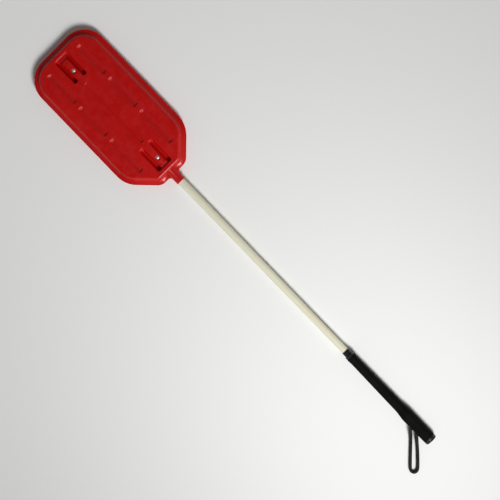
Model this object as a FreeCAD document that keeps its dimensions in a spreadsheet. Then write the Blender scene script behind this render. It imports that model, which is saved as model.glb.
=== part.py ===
import FreeCAD, Part
import math
import os

import Sketcher
from FreeCAD import Placement, Rotation, Vector

# Livestock sorting paddle, lying on its back: a hollow two-shell blade with rattle balls, a tapered
# fibreglass shaft, a rubber grip and a hanging loop.
# The shaft's axis runs along X, with the blade at -X. The front of the blade faces +Z.
# The origin lies on the ground, below the middle of the overall length.

# Driving dimensions in millimetres, angles in degrees. Each one is a cell of the sheet.
SIZES = {
    # Blade outline
    "blade_length": 339,
    "blade_width": 171,
    "neck_width": 66,
    "shoulder_length": 52.5,
    "tip_corner_radius": 50,
    "shoulder_radius": 54,
    "neck_corner_radius": 22,
    # Blade section
    "wall": 2,
    "half_thickness": 13,
    "rim_width": 7,
    "panel_draft": 26.5,
    "panel_edge_radius": 4,
    "rim_edge_bevel": 0.7,
    # Collar, where the shaft leaves the blade
    "collar_length": 20,
    "collar_width": 19,
    "collar_overlap": 12,
    "collar_corner_radius": 6,
    # Six long, shallow recesses that stiffen the panel
    "slot_start": 30,
    "slot_pitch": 88,
    "slot_length": 75,
    "neck_slot_length": 86,
    "slot_width": 12.8,
    "slot_depth": 3.4,
    "slot_row_offset": 41.3,
    "slot_draft": 42,
    "slot_corner_radius": 4,
    "slot_edge_bevel": 0.8,
    # Two horseshoe recesses whose legs reach the other shell and hold the shaft between them
    "shaft_ridge_width": 14,
    "horseshoe_draft": 16,
    "horseshoe_corner_radius": 4,
    "horseshoe_edge_bevel": 1,
    "horseshoe_bridge": 11,
    "neck_horseshoe_start": 261,
    "neck_horseshoe_length": 55.5,
    "neck_horseshoe_width": 36.6,
    "tip_horseshoe_start": 21.6,
    "tip_horseshoe_length": 57.5,
    "tip_horseshoe_width": 33.6,
    # Shallow groove over the shaft, between the horseshoes
    "groove_start": 92,
    "groove_length": 160,
    "groove_width": 8.5,
    "groove_depth": 2.4,
    "groove_draft": 30,
    # Rivets through blade and shaft
    "tip_rivet_place": 58,
    "neck_rivet_place": 294.2,
    "rivet_radius": 2.4,
    "rivet_head_radius": 4,
    "rivet_head_edge": 0.5,
    "rivet_head_height": 1.7,
    "rivet_clinch_radius": 3.3,
    "rivet_clinch_height": 1.2,
    "rivet_seat_radius": 5,
    "rivet_seat_draft": 12,
    "rivet_hole_clearance": 0.1,
    "washer_thickness": 0.8,
    # Rattle balls, one in each lane between the recesses
    "ball_radius": 8,
    "ball_rest_gap": 0.3,
    "ball_rest_place": 150,
    "inner_lane_from_slots": 14.9,
    "outer_lane_from_edge": 24.5,
    # Shaft: straight in the blade, then a long taper to the butt
    "shaft_tip_place": 36,
    "shaft_tip_radius": 7.95,
    "shaft_butt_radius": 6.95,
    "shaft_wall": 2.4,
    "shaft_show_length": 463,
    "shaft_bore_clearance": 0.05,
    "tip_plug_length": 40,
    "butt_plug_length": 24,
    "plug_clearance": 0.05,
    # Grip and its band
    "band_length": 10.8,
    "band_thickness": 0.45,
    "grip_length": 231,
    "grip_tape_thickness": 0.3,
    "grip_fit": 0.05,
    "mouth_radius": 9.7,
    "mouth_length": 11,
    "throat_radius": 9.1,
    "throat_place": 17,
    "waist_from_butt": 85,
    "waist_radius": 10.6,
    "knob_from_butt": 67,
    "knob_radius": 13,
    "butt_radius": 12.5,
    "grip_blend_radius": 30,
    "mouth_edge_radius": 2.4,
    "butt_edge_radius": 1.2,
    "shaft_end_from_butt": 65,
    "knot_chamber_radius": 7.4,
    "grip_tape_start": 3,
    "cap_thickness": 3,
    "cap_radius": 12.2,
    "cap_edge_bevel": 1.2,
    "cap_clearance": 0.1,
    # Hanging loop and the knot that holds it
    "cord_radius": 3.2,
    "cord_hole_clearance": 0.35,
    "cord_ground_gap": 0.1,
    "stopper_knot_length": 40,
    "stopper_knot_clearance": 0.2,
    "knot_end_gap": 0.4,
    "knot_socket_clearance": 0.1,
}

# Places along X that several pieces share, as expressions of the sheet's cells.
SHAFT_LEAVES = "(Sizes.blade_length + Sizes.collar_length)"
BAND_STARTS = f"({SHAFT_LEAVES} + Sizes.shaft_show_length)"
GRIP_STARTS = f"({BAND_STARTS} + Sizes.band_length)"
OVERALL = f"({GRIP_STARTS} + Sizes.grip_length + Sizes.cap_thickness)"
SHAFT_ENDS = f"({GRIP_STARTS} + Sizes.grip_length - Sizes.shaft_end_from_butt)"
SEAT_LEVEL = "(Sizes.shaft_tip_radius + Sizes.wall)"
SEAT_DEPTH = f"(Sizes.half_thickness - {SEAT_LEVEL})"
SEAT_FLOOR_RADIUS = f"(Sizes.rivet_seat_radius - {SEAT_DEPTH} * tan(Sizes.rivet_seat_draft))"
# Every piece on the shaft's axis is drawn from the blade's tip edge, and is placed by these two.
TIP_PLACE = f"(-{OVERALL} / 2)"
AXIS_HEIGHT = "Sizes.half_thickness"
INNER_LANE = "(Sizes.slot_row_offset - Sizes.inner_lane_from_slots)"
OUTER_LANE = "(Sizes.blade_width / 2 - Sizes.outer_lane_from_edge)"
# The loop leaves the grip by one hole and goes back in by the other, with an end in the knot at each.
CORD_HOLE = "(Sizes.cord_radius + Sizes.cord_hole_clearance)"
CORD_SOCKET = "(Sizes.cord_radius + Sizes.knot_socket_clearance)"


def make_sheet(doc):
    """The sheet of driving dimensions, one named cell each."""
    sheet = doc.addObject("Spreadsheet::Sheet", "Sizes")
    for row, (name, value) in enumerate(SIZES.items(), start=1):
        sheet.set(f"A{row}", name)
        sheet.set(f"B{row}", str(value))
        sheet.setAlias(f"B{row}", name)
    doc.recompute()
    return sheet


doc = FreeCAD.newDocument("sorting_paddle")
sheet = make_sheet(doc)


def value(expression):
    """What an expression of the sheet's cells comes to."""
    return float(sheet.evalExpression(expression))


# Sketches


def new_body(name):
    return doc.addObject("PartDesign::Body", name)


def new_sketch(body, name, plane="XY_Plane", lift=None):
    """A sketch on one of the body's origin planes, or lifted off it along its normal."""
    sketch = body.newObject("Sketcher::SketchObject", name)
    origin_plane = [f for f in body.Origin.OriginFeatures if f.Role == plane][0]
    sketch.AttachmentSupport = [(origin_plane, "")]
    sketch.MapMode = "FlatFace"
    if lift:
        sketch.AttachmentOffset = Placement(Vector(0, 0, value(lift)), Rotation())
        sketch.setExpression("AttachmentOffset.Base.z", lift)
    return sketch


def tie(rules, kind, *geometry):
    """Notes a rule of the sketch that has no size."""
    rules.append((Sketcher.Constraint(kind, *geometry), None))


def measure(rules, kind, geometry, expression):
    """Notes a dimension of the sketch, to be bound to an expression."""
    rules.append((Sketcher.Constraint(kind, *geometry, value(expression)), expression))


def apply_rules(sketch, rules):
    first = sketch.ConstraintCount
    sketch.addConstraint([constraint for constraint, _ in rules])
    for index, (_, expression) in enumerate(rules, start=first):
        if expression:
            sketch.setExpression(f"Constraints[{index}]", expression)


def fix_point(rules, geometry, x, y):
    """Ties a point of the sketch to the origin by its two coordinates."""
    for kind, expression, axis in (("DistanceX", x, -2), ("DistanceY", y, -1)):
        distance = value(expression)
        if abs(distance) < 1e-9:
            tie(rules, "PointOnObject", *geometry, axis)
        elif distance > 0:
            measure(rules, kind, (-1, 1, *geometry), expression)
        else:
            measure(rules, kind, (*geometry, -1, 1), f"-({expression})")


def draw_outline(sketch, corners):
    """A closed outline through corners (x, y, radius), counter-clockwise. No radius is a sharp corner.

    Construction lines hold the sharp outline, and the drawn lines lie on them between tangent arcs.
    """
    count = len(corners)
    rules = []
    sharp = [Vector(value(x), value(y), 0) for x, y, _ in corners]
    guides = []
    for i in range(count):
        guides.append(sketch.addGeometry(Part.LineSegment(sharp[i], sharp[(i + 1) % count]), True))
    for i in range(count):
        tie(rules, "Coincident", guides[i], 2, guides[(i + 1) % count], 1)
        fix_point(rules, (guides[i], 1), corners[i][0], corners[i][1])
    starts, ends = list(sharp), list(sharp)
    turns = []
    for i in range(count):
        coming = (sharp[i] - sharp[i - 1]).normalize()
        going = (sharp[(i + 1) % count] - sharp[i]).normalize()
        turn = math.atan2(coming.cross(going).z, coming.dot(going))
        turns.append((coming, turn))
        if corners[i][2]:
            back = value(corners[i][2]) * abs(math.tan(turn / 2))
            ends[i] = sharp[i] - coming * back
            starts[i] = sharp[i] + going * back
    lines = []
    for i in range(count):
        line = sketch.addGeometry(Part.LineSegment(starts[i], ends[(i + 1) % count]), False)
        lines.append(line)
        for point, corner in ((1, i), (2, (i + 1) % count)):
            if corners[corner][2]:
                tie(rules, "PointOnObject", line, point, guides[i])
            else:
                tie(rules, "Coincident", line, point, guides[corner], 1)
    for i in range(count):
        if corners[i][2]:
            draw_corner(sketch, rules, lines[i - 1], lines[i], ends[i], turns[i], corners[i][2])
    apply_rules(sketch, rules)


def draw_corner(sketch, rules, line_in, line_out, start, turn_at, radius):
    """A tangent arc between two lines, to the left or the right."""
    coming, turn = turn_at
    side = 1 if turn > 0 else -1
    normal = Vector(-coming.y, coming.x, 0) * side
    centre = start + normal * value(radius)
    first = math.atan2(-normal.y, -normal.x)
    last = first + turn
    low, high = (first, last) if side > 0 else (last, first)
    circle = Part.Circle(centre, Vector(0, 0, 1), value(radius))
    arc = sketch.addGeometry(Part.ArcOfCircle(circle, low, high), False)
    at_in, at_out = (1, 2) if side > 0 else (2, 1)
    tie(rules, "Tangent", line_in, 2, arc, at_in)
    tie(rules, "Tangent", arc, at_out, line_out, 1)
    measure(rules, "Radius", (arc,), radius)


def rectangle(x_low, x_high, y_low, y_high, radius=None):
    """The corners of an upright rectangle, counter-clockwise."""
    return [
        (x_low, y_low, radius),
        (x_high, y_low, radius),
        (x_high, y_high, radius),
        (x_low, y_high, radius),
    ]


def draw_circle(sketch, x, y, radius):
    circle = Part.Circle(Vector(value(x), value(y), 0), Vector(0, 0, 1), value(radius))
    index = sketch.addGeometry(circle, False)
    rules = []
    fix_point(rules, (index, 3), x, y)
    measure(rules, "Radius", (index,), radius)
    apply_rules(sketch, rules)


# Features


def set_size(feature, name, expression):
    setattr(feature, name, value(expression))
    feature.setExpression(name, expression)


def pad(body, name, sketch, length, draft=None):
    feature = body.newObject("PartDesign::Pad", name)
    feature.Profile = sketch
    set_size(feature, "Length", length)
    if draft:
        set_size(feature, "TaperAngle", f"-{draft}")
    return feature


def pocket(body, name, sketch, depth, draft=None, reverse=False):
    feature = body.newObject("PartDesign::Pocket", name)
    feature.Profile = sketch
    feature.Reversed = reverse
    set_size(feature, "Length", depth)
    if draft:
        set_size(feature, "TaperAngle", f"-{draft}")
    return feature


def turned_body(name, corners, axis="H_Axis"):
    """A body turned from one profile in the XZ plane, round the X axis or, with V_Axis, round Z."""
    body = new_body(name)
    profile = new_sketch(body, f"{name}_profile", "XZ_Plane")
    draw_outline(profile, corners)
    feature = body.newObject("PartDesign::Revolution", f"{name}_turned")
    feature.Profile = profile
    feature.ReferenceAxis = (profile, [axis])
    feature.Angle = 360
    return body


def taper(body, name, start, end, circles, cut=False):
    """A solid or a ring round the X axis that narrows from start to end, through a section half-way.
    Each circle is a function that gives its radius at a place."""
    sections = []
    for place in (start, f"(({start} + {end}) / 2)", end):
        section = new_sketch(body, f"{name}_{len(sections)}", "YZ_Plane", place)
        for radius_at in circles:
            draw_circle(section, "0", "0", radius_at(place))
        sections.append(section)
    feature = body.newObject("PartDesign::SubtractiveLoft" if cut else "PartDesign::AdditiveLoft", name)
    feature.Profile = sections[0]
    feature.Sections = [(section, [""]) for section in sections[1:]]
    return feature


def drill(body, name, start, towards, radius, depth):
    """A round hole from one point of the row frame towards another."""
    turn = Rotation(Vector(0, 0, 1), towards - start)
    hole = body.newObject("PartDesign::SubtractiveCylinder", name)
    set_size(hole, "Radius", radius)
    set_size(hole, "Height", depth)
    hole.Placement = body.Placement.inverse() * Placement(start, turn)
    return hole


def mirror_sides(body, name, features):
    """Repeats features on the other side of the XZ plane."""
    feature = body.newObject("PartDesign::Mirrored", name)
    feature.Originals = features
    plane = [f for f in body.Origin.OriginFeatures if f.Role == "XZ_Plane"][0]
    feature.MirrorPlane = (plane, [""])
    body.Tip = feature
    return feature


def finish_edges(body, kind, name, chosen, size):
    """A Fillet or a Chamfer on the chosen edges of the body's last feature."""
    doc.recompute()
    base = body.Tip
    names = [f"Edge{i + 1}" for i, edge in enumerate(base.Shape.Edges) if chosen(edge)]
    feature = body.newObject(f"PartDesign::{kind}", name)
    feature.Base = (base, names)
    set_size(feature, "Radius" if kind == "Fillet" else "Size", size)
    return feature


def lies_at(height):
    """Whether an edge lies in the level plane at a height."""
    z = value(height)
    return lambda edge: abs(edge.BoundBox.ZMin - z) < 1e-4 and abs(edge.BoundBox.ZMax - z) < 1e-4


def set_place(part, x, y="0", z="0"):
    """Moves a piece to its place, bound to the sheet."""
    part.Placement = Placement(Vector(value(x), value(y), value(z)), Rotation())
    for axis, expression in (("x", x), ("y", y), ("z", z)):
        part.setExpression(f"Placement.Base.{axis}", expression)
    return part


# Blade


def blade_corners(inset):
    """The blade's outline without its collar, drawn in by an inset."""
    half_width = f"(Sizes.blade_width / 2 - {inset})"
    slope = "atan((Sizes.blade_width - Sizes.neck_width) / 2 / Sizes.shoulder_length)"
    shoulder = f"(Sizes.blade_length - Sizes.shoulder_length - {inset} * tan({slope} / 2))"
    neck = f"(Sizes.neck_width / 2 - {inset} * tan(45 deg - {slope} / 2))"
    end = f"(Sizes.blade_length - {inset})"
    tip_radius = f"(Sizes.tip_corner_radius - {inset})"
    shoulder_radius = f"(Sizes.shoulder_radius - {inset})"
    neck_radius = f"(Sizes.neck_corner_radius - {inset})"
    return [
        (f"{inset}", f"-{half_width}", tip_radius),
        (shoulder, f"-{half_width}", shoulder_radius),
        (end, f"-{neck}", neck_radius),
        (end, neck, neck_radius),
        (shoulder, half_width, shoulder_radius),
        (f"{inset}", half_width, tip_radius),
    ]


def rim_corners():
    """The blade's outline with the collar's root between the two halves of the neck edge."""
    corners = blade_corners("0")
    collar = "(Sizes.collar_width / 2)"
    collar_end = SHAFT_LEAVES
    middle = [
        ("Sizes.blade_length", f"-{collar}", "Sizes.collar_corner_radius"),
        (collar_end, f"-{collar}", None),
        (collar_end, collar, None),
        ("Sizes.blade_length", collar, "Sizes.collar_corner_radius"),
    ]
    return corners[:3] + middle + corners[3:]


def slot_lengths():
    return ["Sizes.slot_length", "Sizes.slot_length", "Sizes.neck_slot_length"]


def draw_slots(sketch, grow, corner):
    """One row of three slots, each side grown by the same amount."""
    for i, length in enumerate(slot_lengths()):
        start = f"(Sizes.slot_start + {i} * Sizes.slot_pitch)"
        corners = rectangle(
            f"({start} - {grow})",
            f"({start} + {length} + {grow})",
            f"(Sizes.slot_row_offset - Sizes.slot_width / 2 - {grow})",
            f"(Sizes.slot_row_offset + Sizes.slot_width / 2 + {grow})",
            corner,
        )
        draw_outline(sketch, corners)


def draw_leg(sketch, start, length, width, grow, corner):
    """One leg of a horseshoe, beside the shaft."""
    corners = rectangle(
        f"({start} - {grow})",
        f"({start} + {length} + {grow})",
        f"(Sizes.shaft_ridge_width / 2 - {grow})",
        f"({width} / 2 + {grow})",
        corner,
    )
    draw_outline(sketch, corners)


def draw_bridge(sketch, start, width, grow):
    """The closed end of a horseshoe, across the axis from the middle of one leg to the other's."""
    half = f"((Sizes.shaft_ridge_width + {width}) / 4)"
    corners = rectangle(
        f"({start} - {grow})",
        f"({start} + Sizes.horseshoe_bridge + {grow})",
        f"-{half}",
        half,
    )
    draw_outline(sketch, corners)


def grown(draft):
    """How much wider a recess's back is than its face, one wall down from the face."""
    return f"(Sizes.wall / cos({draft}) - Sizes.wall * tan({draft}))"


NECK_BRIDGE_STARTS = (
    "(Sizes.neck_horseshoe_start + Sizes.neck_horseshoe_length - Sizes.horseshoe_bridge)"
)


def cut_recesses(body, level, hollow):
    """The panel's recesses, cut down from a level: on the face, or as posts in the hollow's form."""
    side = "post" if hollow else "face"
    leg_depth = "(Sizes.half_thickness - Sizes.wall)"
    slot_grow = grown("Sizes.slot_draft") if hollow else "0"
    shoe_grow = grown("Sizes.horseshoe_draft") if hollow else "0"
    seat_grow = grown("Sizes.rivet_seat_draft") if hollow else "0"
    groove_grow = grown("Sizes.groove_draft") if hollow else "0"
    slot_corner = None if hollow else "Sizes.slot_corner_radius"
    shoe_corner = None if hollow else "Sizes.horseshoe_corner_radius"

    slots = new_sketch(body, f"slots_{side}", lift=level)
    draw_slots(slots, slot_grow, slot_corner)
    slot_cut = pocket(body, f"slot_row_{side}", slots, "Sizes.slot_depth", "Sizes.slot_draft")
    cuts = [slot_cut]

    for end, width in (("neck", "Sizes.neck_horseshoe_width"), ("tip", "Sizes.tip_horseshoe_width")):
        leg = new_sketch(body, f"{end}_leg_{side}", lift=level)
        start, length = f"Sizes.{end}_horseshoe_start", f"Sizes.{end}_horseshoe_length"
        draw_leg(leg, start, length, width, shoe_grow, shoe_corner)
        cuts.append(pocket(body, f"{end}_legs_{side}", leg, leg_depth, "Sizes.horseshoe_draft"))
    mirror_sides(body, f"other_side_{side}", cuts)

    # The closed ends cross the shaft's line, so they are only as deep as the wall over the shaft allows.
    for end, start in (("tip", "Sizes.tip_horseshoe_start"), ("neck", NECK_BRIDGE_STARTS)):
        bridge = new_sketch(body, f"{end}_bridge_{side}", lift=level)
        draw_bridge(bridge, start, f"Sizes.{end}_horseshoe_width", shoe_grow)
        pocket(body, f"{end}_bridge_cut_{side}", bridge, SEAT_DEPTH, "Sizes.horseshoe_draft")

    groove = new_sketch(body, f"groove_{side}", lift=level)
    groove_half = f"(Sizes.groove_width / 2 + {groove_grow})"
    groove_start = f"(Sizes.groove_start - {groove_grow})"
    groove_end = f"(Sizes.groove_start + Sizes.groove_length + {groove_grow})"
    draw_outline(groove, rectangle(groove_start, groove_end, f"-{groove_half}", groove_half))
    pocket(body, f"groove_cut_{side}", groove, "Sizes.groove_depth", "Sizes.groove_draft")

    for end in ("tip", "neck"):
        seat = new_sketch(body, f"{end}_seat_{side}", lift=level)
        draw_circle(seat, f"Sizes.{end}_rivet_place", "0", f"(Sizes.rivet_seat_radius + {seat_grow})")
        pocket(body, f"{end}_seat_cut_{side}", seat, SEAT_DEPTH, "Sizes.rivet_seat_draft")


def top_face(shape, level):
    """The widest level face at a height."""
    z = value(level)
    flat = [f for f in shape.Faces if f.BoundBox.ZLength < 1e-4 and abs(f.BoundBox.ZMin - z) < 1e-4]
    return max(flat, key=lambda f: f.Area)


def recess_mouths(body, level, slots):
    """Chooses the edges round the recesses in the panel: the slots' or the horseshoes'."""
    doc.recompute()
    face = top_face(body.Tip.Shape, level)
    near_slot = value("Sizes.slot_row_offset - Sizes.slot_width / 2") - 1
    mouths = []
    for wire in face.Wires:
        box = wire.BoundBox
        is_slot = min(abs(box.YMin), abs(box.YMax)) > near_slot
        is_narrow = box.YLength < value("2.5 * Sizes.rivet_seat_radius")
        if not wire.isSame(face.OuterWire) and is_slot == slots and (slots or not is_narrow):
            mouths.extend(wire.Edges)
    return lambda edge: any(edge.isSame(mouth) for mouth in mouths)


def blade_hollow(name):
    """The space inside one shell: the panel's form, one wall smaller, less a post behind each recess."""
    body = new_body(name)
    inset = "(Sizes.rim_width + Sizes.wall / cos(Sizes.panel_draft))"
    base = new_sketch(body, "hollow_outline")
    draw_outline(base, blade_corners(inset))
    level = "(Sizes.half_thickness - Sizes.wall)"
    pad(body, "hollow_form", base, level, "Sizes.panel_draft")
    cut_recesses(body, level, hollow=True)
    return body


def blade_front(name):
    """The front half of the blade, with its joint face in the plane of the shaft's axis."""
    body = new_body(name)
    outline = new_sketch(body, "rim_outline")
    draw_outline(outline, rim_corners())
    pad(body, "rim", outline, "Sizes.wall")
    finish_edges(body, "Chamfer", "rim_edge", lies_at("Sizes.wall"), "Sizes.rim_edge_bevel")

    panel_outline = new_sketch(body, "panel_outline")
    draw_outline(panel_outline, blade_corners("Sizes.rim_width"))
    pad(body, "panel", panel_outline, "Sizes.half_thickness", "Sizes.panel_draft")
    finish_edges(body, "Fillet", "panel_edge", lies_at("Sizes.half_thickness"), "Sizes.panel_edge_radius")

    collar_half = new_sketch(
        body, "collar_half", "YZ_Plane", "(Sizes.blade_length - Sizes.collar_overlap)"
    )
    draw_half_disc(collar_half, "(Sizes.collar_width / 2)")
    pad(body, "collar", collar_half, "(Sizes.collar_overlap + Sizes.collar_length)")

    cut_recesses(body, "Sizes.half_thickness", hollow=False)
    slot_mouths = recess_mouths(body, "Sizes.half_thickness", slots=True)
    finish_edges(body, "Chamfer", "slot_edge", slot_mouths, "Sizes.slot_edge_bevel")
    shoe_mouths = recess_mouths(body, "Sizes.half_thickness", slots=False)
    finish_edges(body, "Chamfer", "horseshoe_edge", shoe_mouths, "Sizes.horseshoe_edge_bevel")

    hollow = blade_hollow(f"{name}_hollow")
    doc.recompute()
    hollowing = body.newObject("PartDesign::Boolean", "hollowing")
    hollowing.Type = "Cut"
    hollowing.setObjects([hollow])
    body.Tip = hollowing

    bore = new_sketch(body, "bore_circle", "YZ_Plane", "Sizes.shaft_tip_place")
    draw_circle(bore, "0", "0", "(Sizes.shaft_tip_radius + Sizes.shaft_bore_clearance)")
    bore_length = f"({SHAFT_LEAVES} - Sizes.shaft_tip_place)"
    pocket(body, "shaft_bore", bore, bore_length, reverse=True)

    holes = new_sketch(body, "rivet_holes", lift="Sizes.half_thickness")
    for end in ("tip", "neck"):
        radius = "(Sizes.rivet_radius + Sizes.rivet_hole_clearance)"
        draw_circle(holes, f"Sizes.{end}_rivet_place", "0", radius)
    pocket(body, "rivet_hole_cut", holes, "Sizes.half_thickness")

    return set_place(body, TIP_PLACE, z=AXIS_HEIGHT)


def blade_back(name, front):
    """The back half, the front's mirror image across the joint."""
    back = doc.addObject("Part::Mirroring", name)
    back.Source = front
    back.Normal = Vector(0, 0, 1)
    back.setExpression("Base.z", AXIS_HEIGHT)
    return back


def draw_half_disc(sketch, radius):
    """The upper half of a disc round the sketch's origin."""
    r = value(radius)
    circle = Part.Circle(Vector(), Vector(0, 0, 1), r)
    arc = sketch.addGeometry(Part.ArcOfCircle(circle, 0, math.pi), False)
    base = sketch.addGeometry(Part.LineSegment(Vector(-r, 0, 0), Vector(r, 0, 0)), False)
    rules = []
    tie(rules, "Coincident", arc, 3, -1, 1)
    tie(rules, "Coincident", arc, 2, base, 1)
    tie(rules, "Coincident", arc, 1, base, 2)
    tie(rules, "PointOnObject", base, 1, -1)
    tie(rules, "PointOnObject", base, 2, -1)
    measure(rules, "Radius", (arc,), radius)
    apply_rules(sketch, rules)


# Rivets, washers and balls


def rivet(name, place):
    """A domed rivet through both shells and the shaft, clinched over a washer at the back."""
    foot = f"(-{SEAT_LEVEL} - Sizes.washer_thickness)"
    tip = f"({foot} - Sizes.rivet_clinch_height)"
    corners = [
        ("0", tip, None),
        ("Sizes.rivet_radius", tip, None),
        ("Sizes.rivet_clinch_radius", f"({foot} - Sizes.rivet_clinch_height / 2)", None),
        ("Sizes.rivet_clinch_radius", foot, None),
        ("Sizes.rivet_radius", foot, None),
        ("Sizes.rivet_radius", SEAT_LEVEL, None),
        ("Sizes.rivet_head_radius", SEAT_LEVEL, None),
        ("Sizes.rivet_head_radius", f"({SEAT_LEVEL} + Sizes.rivet_head_edge)", None),
        ("0", f"({SEAT_LEVEL} + Sizes.rivet_head_edge)", None),
    ]
    body = turned_body(name, corners, "V_Axis")
    dome_height = "(Sizes.rivet_head_height - Sizes.rivet_head_edge)"
    dome_radius = f"((Sizes.rivet_head_radius^2 / {dome_height} + {dome_height}) / 2)"
    dome = body.newObject("PartDesign::AdditiveSphere", f"{name}_dome")
    set_size(dome, "Radius", dome_radius)
    set_size(dome, "Angle1", f"asin(1 - {dome_height} / {dome_radius})")
    centre = f"({SEAT_LEVEL} + Sizes.rivet_head_height - {dome_radius})"
    dome.Placement = Placement(Vector(0, 0, value(centre)), Rotation())
    dome.setExpression("Placement.Base.z", centre)
    return set_place(body, f"({TIP_PLACE} + {place})", z=AXIS_HEIGHT)


def washer(name, place):
    """The ring that the rivet's clinched end bears on."""
    inner = "(Sizes.rivet_radius + Sizes.rivet_hole_clearance)"
    outer = f"({SEAT_FLOOR_RADIUS} - Sizes.rivet_hole_clearance)"
    corners = rectangle(inner, outer, f"(-{SEAT_LEVEL} - Sizes.washer_thickness)", f"-{SEAT_LEVEL}")
    body = turned_body(name, corners, "V_Axis")
    return set_place(body, f"({TIP_PLACE} + {place})", z=AXIS_HEIGHT)


def rattle_ball(name, offset):
    """A loose ball at rest on the back shell, in the middle of a lane between the recesses."""
    ball = doc.addObject("Part::Sphere", name)
    set_size(ball, "Radius", "Sizes.ball_radius")
    rest = "(Sizes.wall + Sizes.ball_rest_gap + Sizes.ball_radius)"
    return set_place(ball, f"({TIP_PLACE} + Sizes.ball_rest_place)", offset, rest)


# Shaft


def shaft_radius(place):
    """The shaft's outer radius at a place past the collar, from the blade's tip edge."""
    taper = f"(Sizes.shaft_tip_radius - Sizes.shaft_butt_radius) / ({SHAFT_ENDS} - {SHAFT_LEAVES})"
    return f"(Sizes.shaft_tip_radius - ({place} - {SHAFT_LEAVES}) * {taper})"


def rivet_bores(body, name, places):
    """Holes for the rivets, right across the body."""
    sketch = new_sketch(body, f"{name}_circles", lift="Sizes.half_thickness")
    for place in places:
        draw_circle(sketch, place, "0", "(Sizes.rivet_radius + Sizes.rivet_hole_clearance)")
    return pocket(body, name, sketch, "(2 * Sizes.half_thickness)")


def shaft_bore(place):
    return f"({shaft_radius(place)} - Sizes.shaft_wall)"


def shaft(name):
    """A hollow shaft, straight inside the blade and tapered from the collar to its end in the grip."""
    body = new_body(name)
    straight = new_sketch(body, "straight_ring", "YZ_Plane", "Sizes.shaft_tip_place")
    for radius in (shaft_radius(SHAFT_LEAVES), shaft_bore(SHAFT_LEAVES)):
        draw_circle(straight, "0", "0", radius)
    pad(body, "straight_length", straight, f"({SHAFT_LEAVES} - Sizes.shaft_tip_place)")
    taper(body, "tapered_length", SHAFT_LEAVES, SHAFT_ENDS, [shaft_radius, shaft_bore])
    rivet_bores(body, "shaft_rivet_bores", ["Sizes.tip_rivet_place", "Sizes.neck_rivet_place"])
    return set_place(body, TIP_PLACE, z=AXIS_HEIGHT)


def tip_plug(name):
    """A dowel in the shaft's tip, so that the rivet can't crush the wall."""
    radius = "(Sizes.shaft_tip_radius - Sizes.shaft_wall - Sizes.plug_clearance)"
    end = "(Sizes.shaft_tip_place + Sizes.tip_plug_length)"
    body = turned_body(name, rectangle("Sizes.shaft_tip_place", end, "0", radius))
    rivet_bores(body, "tip_plug_bore", ["Sizes.tip_rivet_place"])
    return set_place(body, TIP_PLACE, z=AXIS_HEIGHT)


def butt_plug(name):
    """A dowel in the shaft's other end, which keeps the loop's knot out of the bore."""
    start = f"({SHAFT_ENDS} - Sizes.butt_plug_length)"
    body = new_body(name)
    taper(body, "plug_form", start, SHAFT_ENDS, [lambda x: f"({shaft_bore(x)} - Sizes.plug_clearance)"])
    return set_place(body, TIP_PLACE, z=AXIS_HEIGHT)


def sleeve(name, start, end, gap, thickness):
    """A thin sleeve that follows the shaft's taper, a gap off its surface."""
    body = new_body(name)
    circles = [lambda x: f"({shaft_radius(x)} + {gap} + {thickness})", lambda x: f"({shaft_radius(x)} + {gap})"]
    taper(body, f"{name}_ring", start, end, circles)
    return set_place(body, TIP_PLACE, z=AXIS_HEIGHT)


# Grip


def along_grip(place):
    return f"({GRIP_STARTS} + {place})"


def before_butt(distance):
    return f"({GRIP_STARTS} + Sizes.grip_length - {distance})"


def grip_sleeve(name):
    """The rubber grip: a beaded mouth, a slim waist and a swelling knob with a chamber for the knot."""
    end = along_grip("Sizes.grip_length")
    blend = "Sizes.grip_blend_radius"
    corners = [
        (GRIP_STARTS, "0", None),
        (end, "0", None),
        (end, "Sizes.butt_radius", "Sizes.butt_edge_radius"),
        (before_butt("Sizes.knob_from_butt"), "Sizes.knob_radius", blend),
        (before_butt("Sizes.waist_from_butt"), "Sizes.waist_radius", blend),
        (along_grip("Sizes.throat_place"), "Sizes.throat_radius", "Sizes.mouth_edge_radius"),
        (along_grip("Sizes.mouth_length"), "Sizes.mouth_radius", "Sizes.mouth_edge_radius"),
        (GRIP_STARTS, "Sizes.mouth_radius", "(Sizes.mouth_edge_radius / 2)"),
    ]
    body = turned_body(name, corners)
    over_tape = "(Sizes.grip_tape_thickness + 2 * Sizes.grip_fit)"
    space = [lambda x: f"({shaft_radius(x)} + {over_tape})"]
    taper(body, "shaft_space", GRIP_STARTS, SHAFT_ENDS, space, cut=True)
    chamber = new_sketch(body, "chamber_circle", "YZ_Plane", SHAFT_ENDS)
    draw_circle(chamber, "0", "0", "Sizes.knot_chamber_radius")
    pocket(body, "knot_chamber", chamber, f"({end} - {SHAFT_ENDS})", reverse=True)
    set_place(body, TIP_PLACE, z=AXIS_HEIGHT)
    for side, points in loop_ends():
        drill(body, f"{side}_cord_hole", points[0], points[1], CORD_HOLE, "(4 * Sizes.knob_radius)")
    return body


def butt_cap(name):
    """A cap over the grip's end, its stem in the knot's chamber."""
    start, end = along_grip("Sizes.grip_length"), OVERALL
    stem_start = f"({SHAFT_ENDS} + Sizes.stopper_knot_length + 2 * Sizes.knot_end_gap)"
    stem_radius = "(Sizes.knot_chamber_radius - Sizes.cap_clearance)"
    corners = [
        (stem_start, "0", None),
        (end, "0", None),
        (end, "(Sizes.cap_radius - Sizes.cap_edge_bevel)", None),
        (f"({end} - Sizes.cap_edge_bevel)", "Sizes.cap_radius", None),
        (start, "Sizes.cap_radius", None),
        (start, stem_radius, None),
        (stem_start, stem_radius, None),
    ]
    return set_place(turned_body(name, corners), TIP_PLACE, z=AXIS_HEIGHT)


# Hanging loop


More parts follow.
